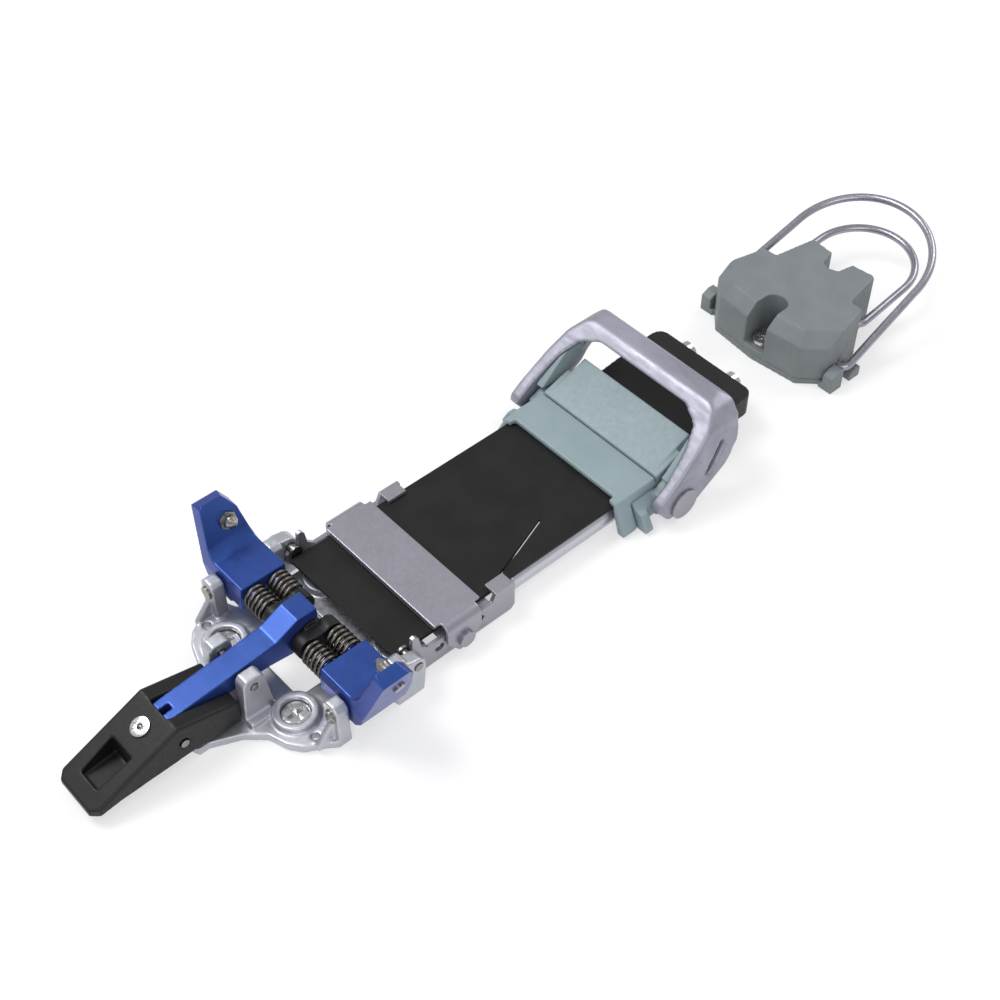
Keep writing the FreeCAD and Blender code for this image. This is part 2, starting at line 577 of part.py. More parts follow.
def make_wing(side, name):
    body = new_body(f"wing_{name}_body")
    outline = wing_front_view() if side > 0 else left_of(wing_front_view())
    pad(body, "Y", "wing_front", "wing_rear", outline)
    far = span(side, "wing_in - 1", "wing_root_x + 16")
    pocket(body, "X", *far, [("wing_front - 1", "outer_ear_top - 2"), ("wing_front", "outer_ear_top - 2"),
                             ("wing_front_top", "wing_peak - 0.9"), ("wing_front_top + 2", "wing_peak + 1"),
                             ("wing_front - 1", "wing_peak + 1")])
    pocket(body, "X", *far, [("wing_rear_top", "wing_peak + 1"), ("wing_rear_top", "wing_peak"),
                             ("wing_rear_side", "wing_rear_low"), ("wing_rear", "wing_top + 1"),
                             ("wing_rear + 1", "wing_top + 1"), ("wing_rear + 1", "wing_peak + 1")])
    hole = ring("wing_axle_x", "wing_axle_z", "wing_axle_r + fit_gap")
    pocket(body, "Y", "wing_front - 1", "wing_rear + 1", hole if side > 0 else left_of(hole))
    soften(body, "Fillet", "wing_round",
           lambda m, w: abs(w.y) > 0.9 and near(abs(m.x), "wing_root_x") and near(m.z, "wing_top"))
    spigots = [rod(f"wing_{name}_{row}", "spigot_r", *span(side, "wing_in - spigot_long", "wing_in + 0.5"),
                   y=y, z="guide_z", along="X") for row, y in ROWS.items()]
    whole = fuse(f"wing_{name}_whole", body, *spigots)
    bore = pin_rod(f"wing_{name}_bore", side, "pin_r - 0.2 + pin_hole_gap", "-wing_plate - 2", "1")
    keep(cut(f"wing_{name}", whole, bore), f"wing_{name}")


def pin_rod(name, side, r, low, high, tip=None):
    """A cylinder or cone on the pin's axis, measured from the wing plate's inner face."""
    kind = "Part::Cylinder" if tip is None else "Part::Cone"
    thing = bind(doc.addObject(kind, name), Height=f"({high}) - ({low})")
    if tip is None:
        bind(thing, Radius=r)
    else:
        bind(thing, Radius1=r, Radius2=tip)
    sign = "" if side > 0 else "-"
    x = f"{sign}(pin_x - ({low}) * cos(wing_lean * 1deg))"
    z = f"pin_z + ({low}) * sin(wing_lean * 1deg)"
    return place(thing, x, "pin_y", z, (0, -side, 0), "90 - wing_lean")


def make_pin(side, name):
    """A taper pin that enters the boot's toe socket, with a hexagonal collar against the wing."""
    tail = pin_rod(f"pin_{name}_tail", side, "pin_r - 0.2", "-wing_plate - pin_tail", "0.3")
    shaft = pin_rod(f"pin_{name}_shaft", side, "pin_r", "0", "pin_long * 0.6")
    tip = pin_rod(f"pin_{name}_tip", side, "pin_r", "pin_long * 0.6", "pin_long", tip="pin_tip_r")
    collar = bind(doc.addObject("Part::Prism", f"pin_{name}_collar"), Circumradius="pin_collar_r",
                  Height="pin_collar")
    collar.Polygon = 6
    place(collar, "pin_x" if side > 0 else "-pin_x", "pin_y", "pin_z", (0, -side, 0), "90 - wing_lean")
    keep(fuse(f"toe_pin_{name}", tail, shaft, tip, collar), f"toe_pin_{name}")


# --- flex frame ---------------------------------------------------------------------------------

def bracket_wall():
    """Side view of a bracket wall, with the hook at the front open forward and up."""
    return [
        ("hook_y + 4", "wall_bottom"), ("bracket_rear - 1.5", "wall_bottom"),
        ("bracket_rear", "wall_bottom + 1.5"), ("bracket_rear", "plate_bottom + plate_thick + tab_gap + 1.2"),
        ("tab_front", "plate_bottom + plate_thick + tab_gap + 1.2"), ("tab_front - 1.5", "wall_top"),
        ("hook_y + 8.5", "wall_top"), ("hook_y + 5.5", "hook_z"), ("hook_y + 4.7", "hook_z + 5"),
        ("hook_y + 3.3", "hook_z + 6.4"), ("hook_y + 2.1", "hook_z + 5.9"),
        ("hook_y + hook_pin_r + 0.3", "hook_z"), ("hook_y - hook_pin_r - 0.3", "hook_z"),
        ("hook_y - 3.1", "hook_z - 0.9"), ("hook_y - 3.3", "hook_z - 3.9"), ("hook_y - 0.5", "hook_z - 7.5"),
    ]


def make_bracket():
    body = new_body("bracket")
    low, high = "wall_in", "wall_in + wall_thick"
    pad(body, "X", low, high, bracket_wall())
    pad(body, "Z", "plate_bottom - wall_thick", "plate_bottom",
        box_loop("-wall_in - 0.2", "web_front", "wall_in + 0.2", "web_rear"))
    pad(body, "X", f"-({high})", f"-({low})", bracket_wall())
    tab_z = "plate_bottom + plate_thick + tab_gap"
    pad(body, "Z", tab_z, f"{tab_z} + 1.2",
        *pair(box_loop("wall_in - tab_long", "tab_front", "wall_in + 0.2", "bracket_rear - 0.6")))
    seat = ring("hook_y", "hook_z", "hook_pin_r + 0.3")
    pocket(body, "X", f"-({high}) - 1", f"{high} + 1", seat, ring("rivet_pin_y", "rivet_pin_z", "rivet_pin_r"),
           slot_hole("rivet_pin_y - 9.2"), slot_hole("rivet_pin_y + 7.5"))
    keep(body, "bracket")


def slot_hole(y):
    """A six-sided oval hole in the bracket wall."""
    half, high, z = "2.1", "1.4", "rivet_pin_z + 1.1"
    return [(f"{y} - {half}", z), (f"{y} - 1", f"{z} + {high}"), (f"{y} + 1", f"{z} + {high}"),
            (f"{y} + {half}", z), (f"{y} + 1", f"{z} - {high}"), (f"{y} - 1", f"{z} - {high}")]


def make_strap():
    """A steel strap over the plate: lips along its front and rear, round shoulders, a flange each side."""
    body = new_body("strap")
    out, under = "strap_flange_in + strap_flange", "strap_top - strap_thick"
    foot = "rivet_pin_z - flange_foot"
    right = [("strap_flange_in", under), ("strap_flange_in", foot), (out, foot), (out, "strap_top")]
    left = [(f"-({x})", z) for x, z in reversed(right)]
    pad(body, "Y", "strap_front", "strap_rear", right + left)
    soften(body, "Fillet", "strap_bend",
           lambda m, w: abs(w.y) > 0.9 and near(m.z, "strap_top") and near(abs(m.x), out))
    soften(body, "Fillet", "strap_bend - strap_flange",
           lambda m, w: abs(w.y) > 0.9 and near(m.z, under) and near(abs(m.x), "strap_flange_in"))
    for low, high in (("strap_front - 1", "rivet_pin_y - flange_half"),
                      ("rivet_pin_y + flange_half", "strap_rear + 1")):
        ends = box_loop("strap_half", low, f"{out} + 1", high)
        pocket(body, "Z", f"{foot} - 1", "strap_top + 1", *pair(ends))
    for sign in ("-", "+"):
        corner = [(f"rivet_pin_y {sign} flange_half {sign} 1", f"{foot} - 1"),
                  (f"rivet_pin_y {sign} 2.4", f"{foot} - 1"), (f"rivet_pin_y {sign} 2.4", foot),
                  (f"rivet_pin_y {sign} flange_half", "rivet_pin_z + 1.5"),
                  (f"rivet_pin_y {sign} flange_half {sign} 1", "rivet_pin_z + 1.5")]
        pocket(body, "X", f"-({out}) - 1", f"{out} + 1", corner)
    pocket(body, "X", f"-({out}) - 1", f"{out} + 1", ring("rivet_pin_y", "rivet_pin_z", "rivet_pin_r"))
    for low, high in (("strap_front", "strap_front + strap_thick"), ("strap_rear - strap_thick", "strap_rear")):
        pad(body, "X", "-strap_half + 1", "strap_half - 1",
            box_loop(low, f"{under} - strap_lip", high, f"{under} + 0.2"))
    keep(body, "strap")


def make_strap_rivets():
    rivets = []
    for side in (-1, 1):
        name = f"strap_rivet{side + 1}"
        out = "strap_flange_in + strap_flange"
        shank = rod(name + "_shank", "rivet_pin_r", *span(side, "wall_in", f"{out} + 0.4"),
                    y="rivet_pin_y", z="rivet_pin_z", along="X")
        head = rod(name + "_head", "rivet_pin_head", *span(side, out, f"{out} + 1.4"),
                   y="rivet_pin_y", z="rivet_pin_z", along="X")
        rivets.append(fuse(name, shank, head))
    keep(group("strap_rivets", *rivets), "strap_rivets")


def make_flex_plate():
    """A thin plate from the toe to the rear end. A slit on the right frees a springy flap."""
    body = new_body("flex_plate")
    top = "plate_bottom + plate_thick"
    pad(body, "Z", "plate_bottom", top,
        both([("plate_half - 1", "plate_front"), ("plate_half", "plate_front + 1"),
              ("plate_half", "claw_seam + 4"), ("end_half", "end_front - 4"), ("end_half", "plate_rear")]))
    slit = [("plate_half - 1.9", "tab_front + 3"), ("plate_half - 1.9 + slit_wide", "tab_front + 3"),
            ("slit_end_x + slit_wide", "tube_front + 23"), ("slit_end_x", "tube_front + 23")]
    pocket(body, "Z", "plate_bottom - 1", f"{top} + 1", slit)
    keep(body, "flex_plate")


def make_cartridge(side, name):
    """A tube with a closed front end, the rod through it, the rod's piston and the spring behind."""
    sign = "" if side > 0 else "-"
    x = f"{sign}tube_x"
    skin = rod(f"tube_{name}_skin", "tube_r", "tube_front", "tube_stop", x=x, z="tube_z", along="Y")
    round_end = doc.addObject("Part::Fillet", f"tube_{name}_round")
    round_end.Base = skin
    doc.recompute()
    front = [n for n, e in enumerate(skin.Shape.Edges, 1)
             if e.Closed and abs(e.CenterOfMass.y - val("tube_front")) < 0.01]
    round_end.Edges = [(n, 1.6, 1.6) for n in front]
    bore = rod(f"tube_{name}_bore", "tube_r - tube_wall", "tube_front + tube_end_wall", "tube_stop + 1",
               x=x, z="tube_z", along="Y")
    eye = rod(f"tube_{name}_eye", "rod_r + fit_gap", "tube_front - 1", "tube_front + tube_end_wall + 1",
              x=x, z="tube_z", along="Y")
    keep(cut(f"cartridge_tube_{name}", round_end, bore, eye), f"cartridge_tube_{name}")
    free = "tube_front + tube_end_wall + 2 * coil_gap + coil_pitch * coil_turns + 2 * coil_wire_r"
    stem = rod(f"rod_{name}_stem", "rod_r", "rod_front", f"{free} + piston_thick", x=x, z="tube_z", along="Y")
    piston = rod(f"rod_{name}_piston", "piston_r", free, f"{free} + piston_thick", x=x, z="tube_z", along="Y")
    lift = bind(doc.addObject("Part::Box", f"rod_{name}_eye"), Length="6", Width="3.2",
                Height="plate_bottom - wall_thick - tube_z + 2")
    place(lift, f"{x} - 3", "web_rear - 3.2", "tube_z - 2")
    foot = rod(f"rod_{name}_foot", "rod_r", "web_rear - 2", "rod_front + 1", x=x, z="tube_z", along="Y")
    keep(fuse(f"cartridge_rod_{name}", stem, piston, lift, foot), f"cartridge_rod_{name}")
    keep(coil(f"cartridge_spring_{name}", "tube_r - tube_wall - coil_wire_r - coil_gap", "coil_wire_r",
              "coil_pitch", "coil_turns", x, "tube_front + tube_end_wall + coil_gap + coil_wire_r",
              "tube_z", "Y"), f"cartridge_spring_{name}")


# --- claw, bail and pedal -----------------------------------------------------------------------

def make_claw_cover():
    """The band over the plate, with a leg that splays down on each side at its front."""
    body = new_body("claw_cover")
    top = "plate_bottom + plate_thick"
    pad(body, "Z", top, "claw_top", both([("claw_front_half", "claw_front"), ("claw_half", "claw_seam")]))
    wall = [("claw_front_half - 1", "claw_top"), ("claw_front_half + 2.2", "claw_top - 0.6"),
            ("leg_foot", "wall_bottom + 1.5"), ("leg_foot - 0.3", "wall_bottom"),
            ("leg_foot - 3.4", "wall_bottom"), ("plate_half + 0.3", "plate_bottom - 0.6"),
            ("plate_half + 0.3", top), ("claw_front_half - 1", top)]
    for loop in pair(wall):
        pad(body, "Y", "leg_front", "leg_rear", loop)
    lip = [("claw_front_half - 1", "claw_top"), ("claw_half", "claw_top"), ("claw_half + 0.9", "claw_top - 2"),
           ("claw_half + 0.9", "plate_bottom"), ("plate_half + 0.2", "plate_bottom"),
           ("plate_half + 0.2", top), ("claw_front_half - 1", top)]
    for loop in pair(lip):
        pad(body, "Y", "leg_rear - 1", "claw_seam", loop)
    keep(body, "claw_cover")


def make_claw_carrier():
    """The block under the plate that holds the tubes, the splayed feet and the bail's bosses."""
    body = new_body("claw_carrier")
    pad(body, "Y", "carrier_front", "carrier_rear",
        both([("carrier_half - 2", "wall_bottom"), ("carrier_half", "wall_bottom + 2"),
              ("carrier_half", "plate_bottom - 3"), ("claw_half + 1.2", "plate_bottom")]))
    foot = [("carrier_half - 1", "wall_bottom"), ("carrier_foot - 0.6", "wall_bottom"),
            ("carrier_foot", "wall_bottom + 1.2"), ("carrier_half + 1.2", "plate_bottom - 2.5"),
            ("carrier_half - 1", "plate_bottom - 2.5")]
    for loop in pair(foot):
        pad(body, "Y", "carrier_front", "carrier_front + 3.4", loop)
    arm = [("carrier_rear - 1", "wall_bottom"), ("bail_y", "bail_z - bail_boss_r"),
           ("bail_y", "bail_z + bail_boss_r - 0.4"), ("carrier_rear - 1", "plate_bottom - 0.5")]
    inner = "pedal_half + 0.9 + pedal_ear + side_gap"
    for low, high in ((inner, "carrier_half"), ("-carrier_half", f"-({inner})")):
        pad(body, "X", low, high, arm)
        pad(body, "X", low, high, ring("bail_y", "bail_z", "bail_boss_r"))
    bores = pair(ring("tube_x", "tube_z", "tube_r"))
    pocket(body, "Y", "carrier_front - 1", "tube_stop", *bores)
    pocket(body, "X", "-carrier_half - 1", "carrier_half + 1", ring("bail_y", "bail_z", "bail_pin_r"))
    keep(body, "claw_carrier")


def bail_side():
    """Side view of the bail: a chin below the pivot and a broad arm that leans back."""
    return [
        ("bail_y - 6.6", "bail_z - 4.4"), ("bail_y - 11.6", "bail_z + 2.2"),
        ("bail_y - 11", "bail_z + 4.6"), ("bail_bar_front - 1", "bail_top - bail_bar + 1.4"),
        ("bail_bar_front + 1.6", "bail_top - 0.8"), ("bail_bar_rear - 3", "bail_top"),
        ("bail_bar_rear", "bail_top - 1.6"), ("bail_bar_rear - 2.2", "bail_top - 15"),
        ("bail_bar_rear - 8", "bail_z + 4.8"), ("bail_y + 8", "bail_z - 3.6"), ("bail_y + 2", "bail_z - 5.7"),
    ]


def bail_front():
    """Front view of the bail's ring: the arms draw in towards the top bar."""
    inner = "bail_out - bail_arm"
    right = [("bail_out", "bail_z + 8"), ("bail_top_out + 2", "bail_top - 12"), ("bail_top_out + 0.2", "bail_top - 6"),
             ("bail_top_out - 3.6", "bail_top - 1.8"), ("bail_top_out - 10", "bail_top + 0.6")]
    hollow = [(inner, "bail_z + 9"), ("bail_top_out - bail_arm + 1.4", "bail_top - 12"),
              ("bail_top_out - bail_arm - 2.2", "bail_top - 6.6"), ("bail_top_out - bail_arm - 9", "bail_top - bail_bar")]
    left_outer = [(f"-({x})", z) for x, z in reversed(right)]
    left_inner = [(f"-({x})", z) for x, z in hollow]
    return [
        (inner, "-1"), ("bail_out", "-1"), *right, *left_outer, ("-bail_out", "-1"), (f"-({inner})", "-1"),
        *left_inner, *reversed(hollow),
    ]


def make_bail():
    side = new_body("bail_side_view")
    pad(side, "X", "-bail_out", "bail_out", bail_side())
    slot = [("bail_y + 10.2", "bail_z + 6.6"), ("bail_y + 11.9", "bail_z + 4.9"),
            ("bail_y + 20.2", "bail_z + 15.2"), ("bail_y + 18.5", "bail_z + 16.9")]
    pocket(side, "X", "-bail_out - 1", "bail_out + 1", slot, ring("bail_y", "bail_z", "bail_pin_r + fit_gap"))
    front = new_body("bail_front_view")
    pad(front, "Y", "bail_y - 20", "bail_bar_rear + 5", bail_front())
    common = doc.addObject("Part::Common", "bail")
    common.Base = side
    common.Tool = front
    keep(common, "bail")
    pins = []
    for side_sign in (-1, 1):
        name = f"bail_pin{side_sign + 1}"
        shank = rod(name + "_shank", "bail_pin_r", *span(side_sign, "plate_half + 0.2", "bail_out + 0.3"),
                    y="bail_y", z="bail_z", along="X")
        head = rod(name + "_head", "bail_head_r", *span(side_sign, "bail_out + 0.1", "bail_out + 0.1 + bail_head"),
                   y="bail_y", z="bail_z", along="X")
        pins.append(fuse(name, shank, head))
    keep(group("bail_pins", *pins), "bail_pins")


def make_liners():
    """Plastic cheeks inside the bail's arms, which keep the boot's ledge centred."""
    outline = [("bail_y - 3.4", "bail_z + 7.6"), ("bail_y + 12", "bail_z + 21.8"),
               ("bail_y + 17.5", "bail_z + 20.8"), ("bail_y + 17", "bail_z + 13"), ("bail_y + 6.4", "bail_z + 4.6"),
               ("bail_y + 1.5", "bail_z + 6.6")]
    for side, name in ((-1, "left"), (1, "right")):
        body = new_body(f"bail_cheek_{name}_blank")
        pad(body, "X", *span(side, "liner_out - liner_thick", "bail_out - bail_arm"), outline)
        keep(cut(f"bail_cheek_{name}", body, doc.getObject("bail")), f"bail_cheek_{name}")


def make_pedal():
    """The wedge under the boot's ledge. Its two ears turn on the bail's pins."""
    body = new_body("pedal")
    under = "plate_bottom + plate_thick + 0.4"
    outline = [("pedal_front", under), ("pedal_front", "claw_top"), ("pedal_rear", "pedal_rear_z"),
               ("pedal_rear + 0.8", "pedal_rear_z - 1.8"), ("pedal_rear - 1", "pedal_rear_z - 4.6"),
               ("pedal_front + 4", under)]
    pad(body, "X", "-pedal_half", "pedal_half", outline)
    ear = [("pedal_front", "bail_z + 4"), ("pedal_front", "claw_top"), ("bail_y + 8", "claw_top + 4"),
           ("bail_y + 5", "bail_z + 5"), ("bail_y + 4.2", "bail_z"), ("bail_y + 3", "bail_z - 3.6"),
           ("bail_y - 3", "bail_z - 3.6"), ("bail_y - 4.2", "bail_z")]
    low, high = "pedal_half + 0.9", "pedal_half + 0.9 + pedal_ear"
    pad(body, "X", "pedal_half - 0.2", high,
        [("pedal_front", under), ("pedal_front", "claw_top"), ("bail_y + 8", "claw_top + 4"), ("bail_y + 5", under)])
    pad(body, "X", f"-({high})", "-pedal_half + 0.2",
        [("pedal_front", under), ("pedal_front", "claw_top"), ("bail_y + 8", "claw_top + 4"), ("bail_y + 5", under)])
    pad(body, "X", low, high, ear)
    pad(body, "X", f"-({high})", f"-({low})", ear)
    pocket(body, "X", f"-({high}) - 1", f"{high} + 1", ring("bail_y", "bail_z", "bail_pin_r + fit_gap"))
    keep(body, "pedal")


def make_rear_end():
    body = new_body("rear_end")
    top = "plate_bottom + plate_thick"
    pad(body, "X", "-end_half", "end_half",
        [("end_front", top), ("end_front", f"{top} + 0.9"), ("end_flange + 1", "end_top"),
         ("end_rear", "end_top"), ("end_rear", "end_bottom"), ("end_flange", "end_bottom"), ("end_flange", top)])
    soften(body, "Fillet", "end_round",
           lambda m, w: abs(w.z) > 0.9 and near(m.y, "end_rear") and near(abs(m.x), "end_half"))
    pocket(body, "Y", "end_flange - 1", "end_rear + 1", *pair(ring("end_screw_x", "end_screw_z", "end_screw_r")))
    keep(body, "rear_end")
    screws = []
    for side in (-1, 1):
        name = f"end_screw{side + 1}"
        x = "end_screw_x" if side > 0 else "-end_screw_x"
        shank = rod(name + "_shank", "end_screw_r", "end_flange - 0.8", "end_rear + 0.5", x=x, z="end_screw_z",
                    along="Y")
        head = rod(name + "_head", "end_head_r", "end_rear", "end_rear + end_head", x=x, z="end_screw_z",
                   along="Y")
        screws.append(fuse(name, shank, head))
    keep(group("end_screws", *screws), "end_screws")


# --- heel post ----------------------------------------------------------------------------------

def post_outline():
    """Right half of the heel block seen from above."""
    return [
        ("0", "post_front"), ("post_side - 8", "post_front + 2"), ("post_side", "post_front + 10"),
        ("post_side", "post_front + 15"), ("shoulder_half", "shoulder_y - 0.5"),
        ("nose_post_half", "shoulder_y"), ("nose_end_half", "post_rear - 1"), ("nose_end_half - 1.4", "post_rear"),
        ("slot_half + 0.2", "post_rear - 1"), ("slot_half - 1.2", "post_rear - 7.8"), ("0", "post_rear - 9.2"),
    ]


def heel_screw_spots():
    return [(x, y) for x in ("-heel_screw_x", "heel_screw_x") for y in ("heel_screw_front", "heel_screw_rear")]


def make_heel_post():
    block = new_body("heel_block")
    pad(block, "Z", "post_plate", "post_top", both(post_outline()))
    soften(block, "Chamfer", "post_bevel",
           lambda m, w: near(m.z, "post_top") and m.y < val("post_front + 12") and abs(w.z) < 0.1)
    pocket(block, "Z", "slot_floor", "post_top + 1",
           box_loop("-slot_half", "post_front - 1", "slot_half", "slot_end"))
    pocket(block, "Z", "slot_floor", "post_top + 1", ring("0", "slot_end", "slot_half"))
    pocket(block, "Z", "post_plate - 1", "slot_floor + 1", ring("0", "post_screw_y", "screw_shank_r + screw_gap"))
    wells = [ring(x, y, "screw_head_r + head_gap") for x, y in heel_screw_spots()]
    pocket(block, "Z", "post_plate - 1", "post_plate + screw_head_high + 1", *wells)
    pocket(block, "X", "-post_side - 5", "post_side + 5", ring("low_y", "low_z", "wire_thick_r + fit_gap"))
    pocket(block, "X", "-post_side - 5", "post_side + 5", ring("high_y", "high_z", "wire_thick_r + fit_gap"))
    keep(block, "heel_block")
    make_heel_plate()
    screws = [wood_screw(f"heel_screw{n}", x, y, "post_plate") for n, (x, y) in enumerate(heel_screw_spots())]
    keep(group("heel_screws", *screws), "heel_screws")
    keep(make_post_screw(), "post_screw")


def make_heel_plate():
    """The plate that is screwed to the ski, with two lugs at each side for the high wire."""
    plate = new_body("heel_plate")
    pad(plate, "Z", "0", "post_plate", both(post_outline()))
    for low, high, top in (("post_front + 7.2", "high_y - 2.2", "lug_high"),
                           ("high_y + 2.2", "high_y + 8", "lug_low")):
        root = box_loop("post_side - 1.4", low, "lug_half", high)
        pad(plate, "Z", "0", "post_plate", *pair(root))
        fin = [(low, "0"), (high, "0"), (high, top), (f"({low} + {high}) / 2", top), (low, f"{top} - 1.6")]
        pad(plate, "X", "post_side + 0.2", "lug_half", fin)
        pad(plate, "X", "-lug_half", "-post_side - 0.2", fin)
    holes = [ring(x, y, "screw_shank_r + screw_gap") for x, y in heel_screw_spots()]
    pocket(plate, "Z", "-1", "post_plate + 1", *holes)
    pocket(plate, "Z", "-1", "post_plate + 1", ring("0", "post_screw_y", "screw_shank_r"))
    keep(plate, "heel_plate")


def make_post_screw():
    """The screw in the block's front slot, which holds the block on its plate."""
    head = rod("post_screw_head", "screw_head_r - 0.7", "slot_floor", "slot_floor + screw_head_high",
               y="post_screw_y")
    shank = rod("post_screw_shank", "screw_shank_r", "0.2", "slot_floor + 0.5", y="post_screw_y")
    slots = []
    for number, (wide, long) in enumerate((("1.2", "5"), ("5", "1.2"))):
        slot = bind(doc.addObject("Part::Box", f"post_slot{number}"), Length=wide, Width=long, Height="2")
        slots.append(place(slot, f"-({wide}) / 2", f"post_screw_y - ({long}) / 2", "slot_floor + screw_head_high - 1.3"))
    return cut("post_screw", fuse("post_screw_whole", head, shank), *slots)


def riser_wire(name, y, z, half, end, long, tilt, inner):
    """A round wire bent to a U, its ends turned in to grip the block. Drawn flat, then tilted."""
    wire_r, half, end, long = val("wire_thick_r"), val(half), val(end), val(long)
    bend = 2.2 * wire_r
    nib = half - val(inner)
    v = FreeCAD.Vector
    edges = []
    for side in (-1, 1):
        corner = v(side * half, 0, 0)
        away = (v(side * end, long - end, 0) - corner).normalize()
        tangent = bend
        start = corner - v(side * tangent, 0, 0)
        after = corner + away * tangent
        bulge = (start + after) * 0.5
        pull = (corner - bulge) * 0.4
        stretch = [Part.LineSegment(v(side * (half - nib), 0, 0), start).toShape(),
                   Part.Arc(start, bulge + pull, after).toShape(),
                   Part.LineSegment(after, v(side * end, long - end, 0)).toShape()]
        edges += stretch if side < 0 else stretch[::-1]
        if side < 0:
            top = Part.Arc(v(-end, long - end, 0), v(0, long, 0), v(end, long - end, 0)).toShape()
            edges.append(top)
    path = Part.Wire(Part.__sortEdges__(edges))
    section = Part.Wire(Part.makeCircle(wire_r, v(-(half - nib), 0, 0), v(1, 0, 0)))
    thing = doc.addObject("Part::Feature", name)
    thing.Shape = path.makePipeShell([section], True, False)
    return keep(place(thing, "0", y, z, (1, 0, 0), tilt), name)


def make_riser_wires():
    riser_wire("high_riser_wire", "high_y", "high_z", "high_half", "high_end", "high_long", "high_tilt",
               "post_side - wire_grip")
    riser_wire("low_riser_wire", "low_y", "low_z", "low_half", "low_end", "low_long", "low_tilt",
               "nose_post_half - wire_grip")


# --- the whole binding --------------------------------------------------------------------------

def build():
    fill_sheet()
    make_toe_base()
    make_toe_fasteners()
    make_lever()
    make_arm()
    make_guide()
    make_springs()
    for side, name in ((-1, "left"), (1, "right")):
        make_wing(side, name)
        make_pin(side, name)
    make_bracket()
    make_strap()
    make_strap_rivets()
    make_flex_plate()
    for side, name in ((-1, "left"), (1, "right")):
        make_cartridge(side, name)
    make_claw_cover()
    make_claw_carrier()
    make_bail()
    make_liners()
    make_pedal()
    make_rear_end()
    make_heel_post()
    make_riser_wires()
    doc.recompute()


def check():
    """Stop if any object failed to compute or any sub-part has no valid solid."""
    for thing in doc.Objects:
        if {"Invalid", "Error"} & set(thing.State):
            raise ValueError(f"{thing.Name} did not compute: {thing.State}")
    for part in parts:
        shape = part.Shape
        if shape.isNull() or not shape.isValid() or not shape.Solids:
            raise ValueError(f"{part.Label} has no valid solid")


def export():
    os.makedirs("parts", exist_ok=True)
    for part in parts:
        part.Shape.exportStep(f"parts/{part.Label}.step")
        print(f"{part.Label:26s} solids {len(part.Shape.Solids)}  volume {part.Shape.Volume:9.1f}")
    print(len(parts), "sub-parts")


build()
check()
export()
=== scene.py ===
"""Touring binding: finishes, small fittings and the studio, built around the packed frame."""
import json
import math

import bpy
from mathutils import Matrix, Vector

bl_info = {
    "name": "Touring Binding Looks",
    "version": (1, 0, 0),
    "blender": (4, 5, 0),
    "location": "View3D > Sidebar > Binding",
    "description": "Finishes and fittings of a touring binding, and a plain studio",
    "category": "Object",
}

MM = 0.001
WELD_DISTANCE = 1e-6
RELAX_FACTOR = 0.5
NORMAL_WEIGHT = 80

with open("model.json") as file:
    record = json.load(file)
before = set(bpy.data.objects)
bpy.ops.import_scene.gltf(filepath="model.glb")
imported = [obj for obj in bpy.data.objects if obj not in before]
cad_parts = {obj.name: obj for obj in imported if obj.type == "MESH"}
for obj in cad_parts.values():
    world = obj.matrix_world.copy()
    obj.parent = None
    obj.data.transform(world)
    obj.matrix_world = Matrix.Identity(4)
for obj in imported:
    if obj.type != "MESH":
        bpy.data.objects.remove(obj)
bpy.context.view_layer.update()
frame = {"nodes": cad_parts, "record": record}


# --- values that a user would change ------------------------------------------------------------

def colour(label, text, default):
    return bpy.props.FloatVectorProperty(name=label, description=text, subtype="COLOR", size=3,
                                         min=0.0, max=1.0, default=default)


def length(label, text, default_mm):
    return bpy.props.FloatProperty(name=label, description=text, unit="LENGTH", precision=5,
                                   min=0.0, default=default_mm * MM)


class BindingColours(bpy.types.PropertyGroup):
    """Colours of the binding's finishes."""
    blue: colour("Blue", "Anodised wings and arm", (0.024, 0.075, 0.30))
    black: colour("Black", "Lever and guide", (0.0075, 0.0075, 0.008))
    plate: colour("Plate", "Flex plate and rear end", (0.0085, 0.0085, 0.009))
    cast: colour("Casting", "Toe base", (0.47, 0.48, 0.52))
    steel: colour("Pressed steel", "Bracket, strap and wires", (0.33, 0.325, 0.37))
    bail: colour("Bail", "Brushed bail", (0.28, 0.28, 0.335))
    claw: colour("Claw", "Claw, pedal and cheeks", (0.225, 0.29, 0.31))
    post: colour("Heel post", "Heel block and its plate", (0.150, 0.168, 0.176))
    spring: colour("Spring", "Oiled spring wire", (0.15, 0.135, 0.12))
    zinc: colour("Zinc", "Screws and rivet", (0.62, 0.62, 0.61))
    tube: colour("Tube", "Cartridge tubes", (0.50, 0.50, 0.55))
    pin: colour("Pin", "Hardened pins", (0.30, 0.28, 0.26))


class BindingSizes(bpy.types.PropertyGroup):
    """Sizes that belong to the looks."""
    edge: length("Edge", "Rounding of machined edges", 0.35)
    sheet_edge: length("Sheet edge", "Rounding of thin sheet", 0.25)
    no_edge: length("No edge", "Round wire keeps its own edges", 0.0)


# --- node helpers -------------------------------------------------------------------------------

